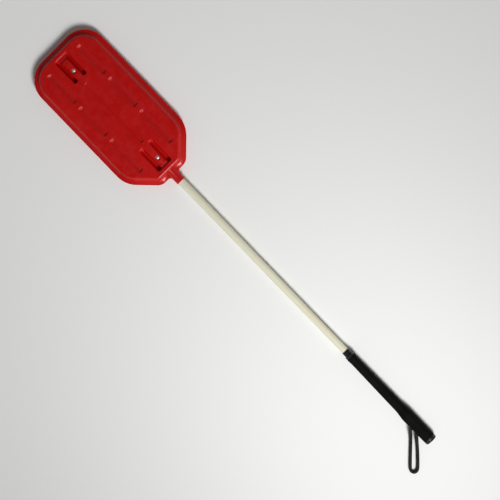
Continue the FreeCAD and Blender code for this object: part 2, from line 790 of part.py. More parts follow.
def loop_points():
    """The loop's route, out of the grip's side, down to the ground and back. Each x is from the grip's
    butt, and each z from the ground."""
    axis = value(AXIS_HEIGHT)
    ground = value("Sizes.cord_radius + Sizes.cord_ground_gap")
    route = [
        (-51.9, -4.0, axis),
        (-37.9, -17.5, axis),
        (-26.9, -27.1, ground + 0.4),
        (-12.6, -41.7, ground),
        (2.1, -56.5, ground),
        (12.5, -66.6, ground),
        (19.0, -72.4, ground),
        (24.8, -72.8, ground),
        (29.1, -69.1, ground),
        (29.3, -63.4, ground),
        (24.8, -57.6, ground),
        (16.2, -49.4, ground),
        (2.9, -37.3, ground),
        (-10.8, -25.7, ground),
        (-20.5, -17.5, axis),
        (-34.5, -4.0, axis),
    ]
    butt = value(f"{TIP_PLACE} + {before_butt(0)}")
    return [Vector(butt + x, y, z) for x, y, z in route]


def loop_ends():
    """The loop's first run and its last one, each from the knot outwards."""
    points = loop_points()
    return [("first", points[:2]), ("last", points[:-3:-1])]


def bend(before, corner, after):
    """The tangent arc at one point of a route, 0.45 of the shorter run from its corner."""
    back, ahead = before - corner, after - corner
    reach = 0.45 * min(back.Length, ahead.Length)
    turn = math.pi - back.getAngle(ahead)
    radius = reach / math.tan(turn / 2)
    first, last = corner + back.normalize() * reach, corner + ahead.normalize() * reach
    inward = (first + last) / 2 - corner
    middle = corner + inward.normalize() * (math.hypot(radius, reach) - radius)
    return Part.Arc(first, middle, last), radius


def hanging_loop(name):
    """The cord, one round tube along straight runs joined by tangent arcs."""
    points = loop_points()
    edges, radii, at = [], [], points[0]
    for before, corner, after in zip(points, points[1:], points[2:]):
        arc, radius = bend(before, corner, after)
        edges += [Part.LineSegment(at, arc.StartPoint).toShape(), arc.toShape()]
        radii.append(round(radius, 1))
        at = arc.EndPoint
    edges.append(Part.LineSegment(at, points[-1]).toShape())
    path = Part.Wire(edges)
    radius = value("Sizes.cord_radius")
    section = Part.Wire(Part.makeCircle(radius, points[0], points[1] - points[0]))
    tube = path.makePipeShell([section], True, False)
    share = tube.Volume / (math.pi * radius**2 * path.Length)
    print(f"{name}: {path.Length:.1f} mm long, {share:.4f} of its section times its length, radii {radii}")
    cord = doc.addObject("Part::Feature", name)
    cord.Shape = tube
    return cord


def stopper_knot(name):
    """The knot inside the grip that the loop's two ends are tied into."""
    start = f"({SHAFT_ENDS} + Sizes.knot_end_gap)"
    radius = "(Sizes.knot_chamber_radius - Sizes.stopper_knot_clearance)"
    corners = rectangle(start, f"({start} + Sizes.stopper_knot_length)", "0", radius)
    body = set_place(turned_body(name, corners), TIP_PLACE, z=AXIS_HEIGHT)
    for side, points in loop_ends():
        drill(body, f"{side}_socket", points[0], points[1], CORD_SOCKET, "(2 * Sizes.knob_radius)")
    return body


def build_pieces():
    """Every piece of the paddle, under the name that its file takes."""
    front = blade_front("blade_front_shell")
    pieces = [front, blade_back("blade_back_shell", front)]
    for end in ("tip", "neck"):
        pieces.append(rivet(f"{end}_rivet", f"Sizes.{end}_rivet_place"))
        pieces.append(washer(f"{end}_rivet_washer", f"Sizes.{end}_rivet_place"))
    lanes = {"inner": INNER_LANE, "outer": OUTER_LANE}
    for lane, offset in lanes.items():
        pieces.append(rattle_ball(f"{lane}_left_rattle_ball", offset))
        pieces.append(rattle_ball(f"{lane}_right_rattle_ball", f"-{offset}"))
    pieces.append(shaft("shaft"))
    pieces.append(tip_plug("shaft_tip_plug"))
    pieces.append(butt_plug("shaft_butt_plug"))
    fit, tape = "Sizes.grip_fit", "Sizes.grip_tape_thickness"
    pieces.append(sleeve("grip_band", BAND_STARTS, GRIP_STARTS, fit, "Sizes.band_thickness"))
    tape_start = along_grip("Sizes.grip_tape_start")
    pieces.append(sleeve("grip_tape", tape_start, SHAFT_ENDS, fit, tape))
    pieces.append(grip_sleeve("grip_sleeve"))
    pieces.append(butt_cap("grip_butt_cap"))
    pieces.append(stopper_knot("loop_stopper_knot"))
    pieces.append(hanging_loop("hanging_loop"))
    return pieces


def check_document(pieces):
    """Stops at a failed object, a loose sketch or a piece that isn't one valid solid."""
    for obj in doc.Objects:
        if {"Invalid", "Error"} & set(obj.State):
            raise RuntimeError(f"{obj.Name} failed: {obj.State}")
        if obj.TypeId == "Sketcher::SketchObject" and not obj.FullyConstrained:
            raise RuntimeError(f"{obj.Name} isn't fully constrained")
    for piece in pieces:
        shape = piece.Shape
        if shape.isNull() or not shape.isValid() or shape.Volume <= 0:
            raise RuntimeError(f"{piece.Label} has no valid solid")


pieces = build_pieces()
doc.recompute()
check_document(pieces)
os.makedirs("parts", exist_ok=True)
for piece in pieces:
    print(f"{piece.Label}: {len(piece.Shape.Solids)} solid, {piece.Shape.Volume:.0f} mm3")
    piece.Shape.exportStep(f"parts/{piece.Label}.step")
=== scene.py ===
import math

import bpy
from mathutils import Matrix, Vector


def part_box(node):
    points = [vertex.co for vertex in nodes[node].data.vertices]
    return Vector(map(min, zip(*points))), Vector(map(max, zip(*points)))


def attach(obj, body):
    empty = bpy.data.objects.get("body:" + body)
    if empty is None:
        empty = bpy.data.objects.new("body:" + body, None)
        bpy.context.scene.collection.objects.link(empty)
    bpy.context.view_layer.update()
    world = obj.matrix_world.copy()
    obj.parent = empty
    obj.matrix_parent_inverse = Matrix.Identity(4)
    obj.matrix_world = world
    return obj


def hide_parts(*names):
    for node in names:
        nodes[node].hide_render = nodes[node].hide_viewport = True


# Livestock sorting paddle, lying on its back on a pale floor: a hollow red blade, a pale tapered shaft, a
# black grip and a hanging loop.
# Metres, in the CAD model's frame: the shaft runs along X, the blade's front faces +Z, the floor is Z = 0.

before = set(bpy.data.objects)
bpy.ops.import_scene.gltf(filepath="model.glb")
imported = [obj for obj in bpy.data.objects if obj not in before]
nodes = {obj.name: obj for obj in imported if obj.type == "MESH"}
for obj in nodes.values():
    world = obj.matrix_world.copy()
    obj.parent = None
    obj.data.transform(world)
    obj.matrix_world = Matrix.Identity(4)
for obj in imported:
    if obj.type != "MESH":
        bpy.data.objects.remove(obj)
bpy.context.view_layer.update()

# Heights that the finishes follow: the panel's face, the shaft's axis and the long recesses' floors
PANEL_LEVEL = 0.026
JOINT_LEVEL = 0.013
RECESS_FLOOR = 0.0226

# Facets of a shell that meet at more than this many degrees keep a hard edge between them
SHARP_ABOVE = 41.0

# The grip's mouth and butt along X, where handling has polished the rubber
GRIP_ENDS = (0.3004, 0.5298)

# The loop's route: the points of its cord in part.py, from the knot inside the grip and back to it
LOOP_ROUTE = [
    (0.4785, -0.0040, 0.0130),
    (0.4925, -0.0175, 0.0130),
    (0.5035, -0.0271, 0.0037),
    (0.5178, -0.0417, 0.0033),
    (0.5325, -0.0565, 0.0033),
    (0.5429, -0.0666, 0.0033),
    (0.5494, -0.0724, 0.0033),
    (0.5552, -0.0728, 0.0033),
    (0.5595, -0.0691, 0.0033),
    (0.5597, -0.0634, 0.0033),
    (0.5552, -0.0576, 0.0033),
    (0.5466, -0.0494, 0.0033),
    (0.5333, -0.0373, 0.0033),
    (0.5196, -0.0257, 0.0033),
    (0.5099, -0.0175, 0.0130),
    (0.4959, -0.0040, 0.0130),
]
CORD_DIAMETER = 0.0064
BRAID_DEPTH = 0.0003

# The knot's room inside the grip: where it starts along X, how long it is and how wide
KNOT_STARTS = 0.4658
KNOT_LENGTH = 0.040
KNOT_RADIUS = 0.0072
KNOT_TURNS = 5


# Nodes: shader and geometry trees


def add(tree, kind, inputs=None, **settings):
    """A node with its settings and inputs. An input is a socket to link from, or a plain value."""
    node = tree.nodes.new(kind)
    for name, setting in settings.items():
        setattr(node, name, setting)
    for name, given in (inputs or {}).items():
        if isinstance(given, bpy.types.NodeSocket):
            tree.links.new(given, node.inputs[name])
        else:
            node.inputs[name].default_value = given
    return node


def calc(tree, operation, a, b=0.0, clamp=False):
    """A Math node's result."""
    node = add(tree, "ShaderNodeMath", {0: a, 1: b}, operation=operation, use_clamp=clamp)
    return node.outputs[0]


def remap(tree, given, low, high, new_low=0.0, new_high=1.0, kind="SMOOTHSTEP"):
    """A value brought from one range to another, and held at its ends."""
    inputs = {"Value": given, "From Min": low, "From Max": high, "To Min": new_low, "To Max": new_high}
    return add(tree, "ShaderNodeMapRange", inputs, interpolation_type=kind).outputs["Result"]


def mix_colour(tree, factor, first, second):
    """Two colours mixed by a factor."""
    factor_at, first_at, second_at, result_at = 0, 6, 7, 2
    inputs = {factor_at: factor, first_at: first, second_at: second}
    return add(tree, "ShaderNodeMix", inputs, data_type="RGBA").outputs[result_at]


def noise(tree, vector, scale, detail=3.0, roughness=0.5):
    """A noise texture's value."""
    inputs = {"Vector": vector, "Scale": scale, "Detail": detail, "Roughness": roughness}
    return add(tree, "ShaderNodeTexNoise", inputs).outputs["Fac"]


def new_group(name, tree_type, inputs, outputs):
    """An empty node group with named sockets, given as name: (kind, start value)."""
    tree = bpy.data.node_groups.new(name, tree_type)
    for socket_name, (kind, start) in inputs.items():
        socket = tree.interface.new_socket(socket_name, in_out="INPUT", socket_type=kind)
        if start is not None:
            socket.default_value = start
    for socket_name, kind in outputs.items():
        tree.interface.new_socket(socket_name, in_out="OUTPUT", socket_type=kind)
    given = tree.nodes.new("NodeGroupInput").outputs
    result = tree.nodes.new("NodeGroupOutput").inputs
    return tree, given, result


# Effects that several finishes share


def make_mottle():
    """Slow changes of colour, with finer ones in them."""
    sockets = {
        "Vector": ("NodeSocketVector", None),
        "Scale": ("NodeSocketFloat", 20.0),
        "Low": ("NodeSocketFloat", 0.35),
        "High": ("NodeSocketFloat", 0.65),
    }
    tree, given, result = new_group("mottle", "ShaderNodeTree", sockets, {"Mask": "NodeSocketFloat"})
    broad = noise(tree, given["Vector"], given["Scale"], 3.0, 0.5)
    fine = noise(tree, given["Vector"], calc(tree, "MULTIPLY", given["Scale"], 9.0), 4.0, 0.6)
    both = calc(tree, "ADD", calc(tree, "MULTIPLY", broad, 0.7), calc(tree, "MULTIPLY", fine, 0.3))
    mask = remap(tree, both, given["Low"], given["High"])
    tree.links.new(mask, result["Mask"])
    return tree


def make_grain():
    """The fine pebbled skin of a moulding, over a slight unevenness."""
    sockets = {
        "Vector": ("NodeSocketVector", None),
        "Grain Scale": ("NodeSocketFloat", 900.0),
        "Swell Scale": ("NodeSocketFloat", 60.0),
        "Swell": ("NodeSocketFloat", 0.5),
    }
    tree, given, result = new_group("moulded_grain", "ShaderNodeTree", sockets, {"Height": "NodeSocketFloat"})
    pebble = add(
        tree,
        "ShaderNodeTexVoronoi",
        {"Vector": given["Vector"], "Scale": given["Grain Scale"], "Randomness": 1.0},
        feature="SMOOTH_F1",
    ).outputs["Distance"]
    swell = noise(tree, given["Vector"], given["Swell Scale"], 2.0, 0.5)
    height = calc(tree, "ADD", pebble, calc(tree, "MULTIPLY", swell, given["Swell"]))
    tree.links.new(height, result["Height"])
    return tree


def make_scratches():
    """Thin scratches that run mostly one way, in patches."""
    sockets = {
        "Vector": ("NodeSocketVector", None),
        "Scale": ("NodeSocketFloat", 60.0),
        "Width": ("NodeSocketFloat", 0.02),
        "Amount": ("NodeSocketFloat", 0.5),
    }
    tree, given, result = new_group("scratches", "ShaderNodeTree", sockets, {"Mask": "NodeSocketFloat"})
    wander = noise(tree, given["Vector"], given["Scale"], 2.0, 0.45)
    line = calc(tree, "ABSOLUTE", calc(tree, "SUBTRACT", wander, 0.5))
    thin = remap(tree, line, 0.0, given["Width"], 1.0, 0.0)
    patch = noise(tree, given["Vector"], calc(tree, "MULTIPLY", given["Scale"], 0.37), 3.0, 0.6)
    threshold = calc(tree, "SUBTRACT", 0.75, calc(tree, "MULTIPLY", given["Amount"], 0.4))
    shown = remap(tree, patch, threshold, 0.8)
    tree.links.new(calc(tree, "MULTIPLY", thin, shown, clamp=True), result["Mask"])
    return tree


def make_level_band():
    """How near a point is to a level, such as a worn face or a recess floor that takes painted shade, broken
    up by noise.
    """
    sockets = {
        "Vector": ("NodeSocketVector", None),
        "Level": ("NodeSocketFloat", 0.0),
        "Reach": ("NodeSocketFloat", 0.002),
        "Scale": ("NodeSocketFloat", 90.0),
    }
    tree, given, result = new_group("level_band", "ShaderNodeTree", sockets, {"Mask": "NodeSocketFloat"})
    height = add(tree, "ShaderNodeSeparateXYZ", {"Vector": given["Vector"]}).outputs["Z"]
    away = calc(tree, "ABSOLUTE", calc(tree, "SUBTRACT", height, given["Level"]))
    near = remap(tree, away, 0.0, given["Reach"], 1.0, 0.0)
    patch = remap(tree, noise(tree, given["Vector"], given["Scale"], 4.0, 0.65), 0.42, 0.66)
    tree.links.new(calc(tree, "MULTIPLY", near, patch), result["Mask"])
    return tree


def make_plait():
    """Strands that cross over and under each other round a cord, from the cord's own map."""
    sockets = {
        "Map": ("NodeSocketVector", None),
        "Strands": ("NodeSocketFloat", 8.0),
        "Turns": ("NodeSocketFloat", 60.0),
    }
    outputs = {"Height": "NodeSocketFloat", "Yarn": "NodeSocketFloat"}
    tree, given, result = new_group("plait", "ShaderNodeTree", sockets, outputs)
    place = add(tree, "ShaderNodeSeparateXYZ", {"Vector": given["Map"]})
    around = calc(tree, "MULTIPLY", place.outputs["X"], given["Strands"])
    along = calc(tree, "MULTIPLY", place.outputs["Y"], given["Turns"])
    leaning = [calc(tree, operation, around, along) for operation in ("ADD", "SUBTRACT")]
    ridges = []
    for lean in leaning:
        wave = calc(tree, "SINE", calc(tree, "MULTIPLY", lean, 2 * math.pi))
        ridges.append(remap(tree, wave, -1.0, 1.0))
    over = calc(tree, "MAXIMUM", ridges[0], ridges[1])
    yarn_wave = calc(tree, "SINE", calc(tree, "MULTIPLY", leaning[0], 14 * math.pi))
    yarn = remap(tree, yarn_wave, -1.0, 1.0)
    tree.links.new(calc(tree, "ADD", over, calc(tree, "MULTIPLY", yarn, 0.15)), result["Height"])
    tree.links.new(yarn, result["Yarn"])
    return tree


MOTTLE = make_mottle()
GRAIN = make_grain()
SCRATCHES = make_scratches()
LEVEL_BAND = make_level_band()
PLAIT = make_plait()


def use(tree, group, **inputs):
    """One of the shared effects in a material, with its own values. Names take _ for a space."""
    node = tree.nodes.new("ShaderNodeGroup")
    node.node_tree = group
    for name, given in inputs.items():
        socket = node.inputs[name.replace("_", " ")]
        if isinstance(given, bpy.types.NodeSocket):
            tree.links.new(given, socket)
        else:
            socket.default_value = given
    return node.outputs


# Finishes


def new_finish(name, **constants):
    """A material with a Principled shader whose sockets take these constants. Names take _ for a space."""
    material = bpy.data.materials.new(name)
    material.use_nodes = True
    tree = material.node_tree
    shader = tree.nodes["Principled BSDF"]
    for socket, value in constants.items():
        shader.inputs[socket.replace("_", " ")].default_value = value
    place = add(tree, "ShaderNodeTexCoord").outputs["Object"]
    return material, tree, shader, place


def stretched(tree, vector, scale, centre=(0.0, 0.0, 0.0)):
    """The coordinates measured from a centre and drawn out or squeezed along each axis."""
    moved = tuple(-c * s for c, s in zip(centre, scale))
    return add(tree, "ShaderNodeMapping", {"Vector": vector, "Location": moved, "Scale": scale}).outputs[0]


def join(tree, shader, colour=None, roughness=None, height=None, strength=0.3, distance=0.0002):
    """Links what varies over a surface to its shader."""
    if colour is not None:
        tree.links.new(colour, shader.inputs["Base Color"])
    if roughness is not None:
        tree.links.new(roughness, shader.inputs["Roughness"])
    if height is not None:
        bump = add(tree, "ShaderNodeBump", {"Height": height, "Strength": strength, "Distance": distance})
        tree.links.new(bump.outputs["Normal"], shader.inputs["Normal"])


def blade_plastic():
    """Blow-moulded red polyethylene: a fine skin, drifts of tone, scuffed faces, and recess floors darkened
    by painted shade and roughened as if dusty.
    """
    material, tree, shader, place = new_finish("blade_plastic", Specular_IOR_Level=0.38)
    drift = use(tree, MOTTLE, Vector=place, Scale=11.0, Low=0.36, High=0.64)["Mask"]
    specks = use(tree, MOTTLE, Vector=place, Scale=160.0, Low=0.55, High=0.72)["Mask"]
    red = mix_colour(tree, drift, (0.46, 0.0022, 0.0020, 1), (0.51, 0.0036, 0.0030, 1))
    red = mix_colour(tree, calc(tree, "MULTIPLY", specks, 0.25), red, (0.40, 0.0018, 0.0018, 1))
    long_ways = stretched(tree, place, (0.35, 1.0, 1.0))
    scratch = use(tree, SCRATCHES, Vector=long_ways, Scale=55.0, Width=0.006, Amount=0.75)["Mask"]
    worn = use(tree, LEVEL_BAND, Vector=place, Level=PANEL_LEVEL, Reach=0.0016, Scale=70.0)["Mask"]
    scuff = calc(tree, "MULTIPLY", worn, 0.35)
    marks = calc(tree, "MAXIMUM", calc(tree, "MULTIPLY", scratch, 0.5), scuff)
    red = mix_colour(tree, calc(tree, "MULTIPLY", marks, 0.35), red, (0.55, 0.035, 0.03, 1))
    # Painted shade: the recess floors are mixed towards a deeper red, and the same mask raises their
    # roughness as dust would
    dust = use(tree, LEVEL_BAND, Vector=place, Level=RECESS_FLOOR, Reach=0.0016, Scale=140.0)["Mask"]
    red = mix_colour(tree, calc(tree, "MULTIPLY", dust, 0.22), red, (0.22, 0.006, 0.005, 1))
    roughness = remap(tree, drift, 0.0, 1.0, 0.29, 0.36, "LINEAR")
    roughness = calc(tree, "ADD", roughness, calc(tree, "MULTIPLY", marks, 0.14))
    roughness = calc(tree, "ADD", roughness, calc(tree, "MULTIPLY", dust, 0.2), clamp=True)
    grain = use(tree, GRAIN, Vector=place, Grain_Scale=1300.0, Swell_Scale=45.0, Swell=1.6)["Height"]
    height = calc(tree, "SUBTRACT", grain, calc(tree, "MULTIPLY", scratch, 0.8))
    join(tree, shader, red, roughness, height, strength=0.25, distance=0.00012)
    return material


def rivet_metal(name, centre_x, tone):
    """Aluminium that was set by a press: rings from the tool, a slight haze and small dents."""
    material, tree, shader, place = new_finish(name, Metallic=1.0)
    from_axis = stretched(tree, place, (1.0, 1.0, 0.0), (centre_x, 0.0, 0.0))
    radius = add(tree, "ShaderNodeVectorMath", {0: from_axis}, operation="LENGTH").outputs["Value"]
    radians_per_metre = 21000.0
    ring = calc(tree, "SINE", calc(tree, "MULTIPLY", radius, radians_per_metre))
    haze = use(tree, MOTTLE, Vector=place, Scale=260.0, Low=0.35, High=0.7)["Mask"]
    dark = tuple(0.72 * c for c in tone[:3]) + (1,)
    colour = mix_colour(tree, haze, tone, dark)
    scratch = use(tree, SCRATCHES, Vector=place, Scale=600.0, Width=0.02, Amount=0.8)["Mask"]
    roughness = remap(tree, haze, 0.0, 1.0, 0.50, 0.64)
    roughness = calc(tree, "ADD", roughness, calc(tree, "MULTIPLY", scratch, 0.12))
    dents = noise(tree, place, 700.0, 2.0, 0.5)
    height = calc(tree, "ADD", calc(tree, "MULTIPLY", ring, 0.12), dents)
    join(tree, shader, colour, roughness, height, strength=0.22, distance=0.0001)
    return material


def shaft_fibreglass():
    """Drawn glass fibre in clear resin: cream, with fine streaks along it, and scuffs round it."""
    constants = {"Coat_Roughness": 0.12, "Specular_IOR_Level": 0.5}
    material, tree, shader, place = new_finish("shaft_fibreglass", **constants)
    fibres = stretched(tree, place, (0.012, 1.0, 1.0))
    streak = remap(tree, noise(tree, fibres, 1500.0, 4.0, 0.65), 0.36, 0.66)
    band = remap(tree, noise(tree, fibres, 330.0, 2.0, 0.5), 0.35, 0.7)
    long_drift = stretched(tree, place, (0.3, 1.0, 1.0))
    drift = use(tree, MOTTLE, Vector=long_drift, Scale=30.0, Low=0.35, High=0.65)["Mask"]
    cream = mix_colour(tree, streak, (0.69, 0.66, 0.48, 1), (0.83, 0.81, 0.64, 1))
    cream = mix_colour(tree, calc(tree, "MULTIPLY", band, 0.5), cream, (0.84, 0.83, 0.70, 1))
    cream = mix_colour(tree, calc(tree, "MULTIPLY", drift, 0.25), cream, (0.66, 0.62, 0.44, 1))
    across = stretched(tree, place, (1.0, 0.25, 0.25))
    scuff = use(tree, SCRATCHES, Vector=across, Scale=140.0, Width=0.012, Amount=0.6)["Mask"]
    cream = mix_colour(tree, calc(tree, "MULTIPLY", scuff, 0.35), cream, (0.50, 0.46, 0.33, 1))
    roughness = remap(tree, streak, 0.0, 1.0, 0.42, 0.30)
    roughness = calc(tree, "ADD", roughness, calc(tree, "MULTIPLY", scuff, 0.2))
    coat = remap(tree, drift, 0.0, 1.0, 0.45, 0.25)
    tree.links.new(coat, shader.inputs["Coat Weight"])
    height = calc(tree, "SUBTRACT", streak, calc(tree, "MULTIPLY", scuff, 0.6))
    join(tree, shader, cream, roughness, height, strength=0.2, distance=0.00008)
    return material


def grip_rubber():
    """Black moulded rubber: fine pebbled skin, a little dust, and a gloss on the bead and the butt's edge."""
    material, tree, shader, place = new_finish("grip_rubber")
    drift = use(tree, MOTTLE, Vector=place, Scale=35.0, Low=0.35, High=0.65)["Mask"]
    black = mix_colour(tree, drift, (0.0026, 0.0026, 0.0028, 1), (0.0045, 0.0044, 0.0042, 1))
    dust = use(tree, MOTTLE, Vector=place, Scale=150.0, Low=0.56, High=0.78)["Mask"]
    black = mix_colour(tree, calc(tree, "MULTIPLY", dust, 0.3), black, (0.014, 0.013, 0.0115, 1))
    long_polish = stretched(tree, place, (0.4, 1.0, 1.0))
    polish = use(tree, MOTTLE, Vector=long_polish, Scale=24.0, Low=0.4, High=0.6)["Mask"]
    roughness = remap(tree, polish, 0.0, 1.0, 0.78, 0.66)
    roughness = calc(tree, "ADD", roughness, calc(tree, "MULTIPLY", dust, 0.15))
    x = add(tree, "ShaderNodeSeparateXYZ", {"Vector": place}).outputs["X"]
    glossy = []
    for end in GRIP_ENDS:
        away = calc(tree, "ABSOLUTE", calc(tree, "SUBTRACT", x, end))
        glossy.append(remap(tree, away, 0.002, 0.005, 1.0, 0.0))
    rubbed = calc(tree, "MAXIMUM", glossy[0], glossy[1])
    tree.links.new(remap(tree, rubbed, 0.0, 1.0, 0.07, 0.6), shader.inputs["Specular IOR Level"])
    roughness = calc(tree, "SUBTRACT", roughness, calc(tree, "MULTIPLY", rubbed, 0.36))
    grain = use(tree, GRAIN, Vector=place, Grain_Scale=1100.0, Swell_Scale=120.0, Swell=0.8)["Height"]
    join(tree, shader, black, roughness, grain, strength=0.45, distance=0.00016)
    return material


def black_plastic(name, tone, rough, swell):
    """Black plastic of the band and the cap, with its own gloss and small scratches."""
    material, tree, shader, place = new_finish(name, Specular_IOR_Level=0.3)
    drift = use(tree, MOTTLE, Vector=place, Scale=90.0, Low=0.35, High=0.65)["Mask"]
    black = mix_colour(tree, drift, (tone, tone, tone, 1), (2 * tone, 2 * tone, 1.9 * tone, 1))
    scratch = use(tree, SCRATCHES, Vector=place, Scale=260.0, Width=0.012, Amount=0.8)["Mask"]
    black = mix_colour(tree, calc(tree, "MULTIPLY", scratch, 0.4), black, (0.04, 0.04, 0.038, 1))
    roughness = remap(tree, drift, 0.0, 1.0, rough, rough + 0.12)
    roughness = calc(tree, "ADD", roughness, calc(tree, "MULTIPLY", scratch, 0.15))
    grain = use(tree, GRAIN, Vector=place, Grain_Scale=1600.0, Swell_Scale=200.0, Swell=swell)["Height"]
    join(tree, shader, black, roughness, grain, strength=0.2, distance=0.0001)
    return material


def braided_cord():
    """Black polypropylene braid with a faint sheen, a little fluff and dust, and painted shade that darkens
    the grooves between the strands' crowns.
    """
    material, tree, shader, place = new_finish(
        "braided_cord", Sheen_Weight=0.03, Sheen_Roughness=0.4, Specular_IOR_Level=0.22
    )
    own_map = add(tree, "ShaderNodeAttribute", attribute_name="cord_map").outputs["Vector"]
    plait = use(tree, PLAIT, Map=own_map, Strands=8.0, Turns=170.0)
    drift = use(tree, MOTTLE, Vector=place, Scale=120.0, Low=0.35, High=0.65)["Mask"]
    # Painted shade: the colour follows the plait's height, darker in the grooves between the strands and
    # lighter on their crowns
    black = mix_colour(tree, plait["Height"], (0.0022, 0.0022, 0.0024, 1), (0.0052, 0.0052, 0.0055, 1))
    black = mix_colour(tree, calc(tree, "MULTIPLY", drift, 0.35), black, (0.0105, 0.010, 0.009, 1))
    roughness = remap(tree, plait["Yarn"], 0.0, 1.0, 0.70, 0.52)
    join(tree, shader, black, roughness, plait["Height"], strength=0.5, distance=0.0003)
    return material


def woven_tape():
    """Cloth tape wound round the shaft in a spiral: a plain weave in yellowed glue, and the turns' edges."""
    material, tree, shader, place = new_finish("woven_tape", Specular_IOR_Level=0.3)
    from_axis = stretched(tree, place, (1, 1, 1), (0, 0, JOINT_LEVEL))
    axes = add(tree, "ShaderNodeSeparateXYZ", {"Vector": from_axis})
    angle = calc(tree, "ARCTAN2", axes.outputs["Y"], axes.outputs["Z"])
    thread_pitch, threads_in_a_turn, tape_width = 0.0009, 52.0, 0.019
    threads_round = calc(tree, "SINE", calc(tree, "MULTIPLY", axes.outputs["X"], 2 * math.pi / thread_pitch))
    threads_along = calc(tree, "SINE", calc(tree, "MULTIPLY", angle, threads_in_a_turn))
    cloth = remap(tree, calc(tree, "MAXIMUM", threads_round, threads_along), -1.0, 1.0)
    turns = calc(tree, "MULTIPLY", axes.outputs["X"], 1 / tape_width)
    wound = calc(tree, "FRACT", calc(tree, "ADD", turns, calc(tree, "DIVIDE", angle, 2 * math.pi)))
    edge = remap(tree, wound, 0.0, 0.035, 1.0, 0.0)
    stain = use(tree, MOTTLE, Vector=place, Scale=45.0, Low=0.35, High=0.7)["Mask"]
    tan = mix_colour(tree, cloth, (0.34, 0.30, 0.22, 1), (0.52, 0.48, 0.38, 1))
    tan = mix_colour(tree, calc(tree, "MULTIPLY", stain, 0.5), tan, (0.38, 0.29, 0.16, 1))
    tan = mix_colour(tree, calc(tree, "MULTIPLY", edge, 0.6), tan, (0.18, 0.14, 0.09, 1))
    height = calc(tree, "ADD", calc(tree, "MULTIPLY", cloth, 0.4), wound)
    join(tree, shader, tan, remap(tree, cloth, 0.0, 1.0, 0.9, 0.7), height, strength=0.5, distance=0.0002)
    return material


def plug_wood():
    """The dowels' birch: grain along the shaft, darker pores and rough ends."""
    material, tree, shader, place = new_finish("plug_wood", Specular_IOR_Level=0.3)
    along = stretched(tree, place, (0.06, 1.0, 1.0))
    rings = remap(tree, noise(tree, along, 420.0, 3.0, 0.6), 0.35, 0.65)
    pores = remap(tree, noise(tree, along, 2200.0, 2.0, 0.5), 0.58, 0.7)
    wood = mix_colour(tree, rings, (0.56, 0.39, 0.22, 1), (0.70, 0.53, 0.33, 1))
    wood = mix_colour(tree, calc(tree, "MULTIPLY", pores, 0.6), wood, (0.28, 0.17, 0.09, 1))
    height = calc(tree, "SUBTRACT", rings, calc(tree, "MULTIPLY", pores, 0.7))
    join(tree, shader, wood, remap(tree, rings, 0.0, 1.0, 0.75, 0.6), height, strength=0.35)
    return material


def ball_plastic():
    """The rattle balls: off-white plastic, scuffed all over by their knocking about."""
    material, tree, shader, place = new_finish("ball_plastic", Specular_IOR_Level=0.45)
    drift = use(tree, MOTTLE, Vector=place, Scale=110.0, Low=0.35, High=0.65)["Mask"]
    white = mix_colour(tree, drift, (0.66, 0.65, 0.60, 1), (0.78, 0.77, 0.73, 1))
    rub = use(tree, SCRATCHES, Vector=place, Scale=220.0, Width=0.02, Amount=0.9)["Mask"]
    white = mix_colour(tree, calc(tree, "MULTIPLY", rub, 0.5), white, (0.55, 0.12, 0.10, 1))
    roughness = calc(tree, "ADD", remap(tree, drift, 0.0, 1.0, 0.35, 0.5), calc(tree, "MULTIPLY", rub, 0.2))
    grain = use(tree, GRAIN, Vector=place, Grain_Scale=900.0, Swell_Scale=150.0, Swell=1.0)["Height"]
    join(tree, shader, white, roughness, grain, strength=0.2, distance=0.0001)
    return material


# Pieces


def paint(piece, material):
    """Gives a piece one material."""
    piece.data.materials.clear()
    piece.data.materials.append(material)
    return piece


def softened(node_name, body):
    """A moulding in place of its CAD node, whose small edges shade as rounded ones do."""
    mesh = nodes[node_name].data.copy()
    piece = bpy.data.objects.new(node_name + "_moulding", mesh)
    bpy.context.scene.collection.objects.link(piece)
    weld = piece.modifiers.new("weld", "WELD")
    weld.merge_threshold = 0.000002
    welded = bpy.data.meshes.new_from_object(piece.evaluated_get(bpy.context.evaluated_depsgraph_get()))
    piece.modifiers.clear()
    piece.data = welded
    welded.shade_smooth()
    welded.set_sharp_from_angle(angle=math.radians(SHARP_ABOVE))
    soften = piece.modifiers.new("soften", "WEIGHTED_NORMAL")
    soften.keep_sharp = True
    soften.weight = 50
    finished = bpy.data.meshes.new_from_object(piece.evaluated_get(bpy.context.evaluated_depsgraph_get()))
    piece.modifiers.clear()
    piece.data = finished
    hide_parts(node_name)
    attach(piece, body)
    return piece


def cord_line(name, points):
    """The cord's centre line: a smooth spline pulled towards the route's points, read as a mesh."""
    curve = bpy.data.curves.new(name, "CURVE")
    curve.dimensions = "3D"
    spline = curve.splines.new("NURBS")
    spline.points.add(len(points) - 1)
    for point, place in zip(spline.points, points):
        point.co = (*place, 1.0)
    spline.order_u = 3
    spline.use_endpoint_u = True
    spline.resolution_u = 24
    holder = bpy.data.objects.new(name, curve)
    bpy.context.scene.collection.objects.link(holder)
    line = bpy.data.meshes.new_from_object(holder)
    bpy.data.objects.remove(holder)
    return line


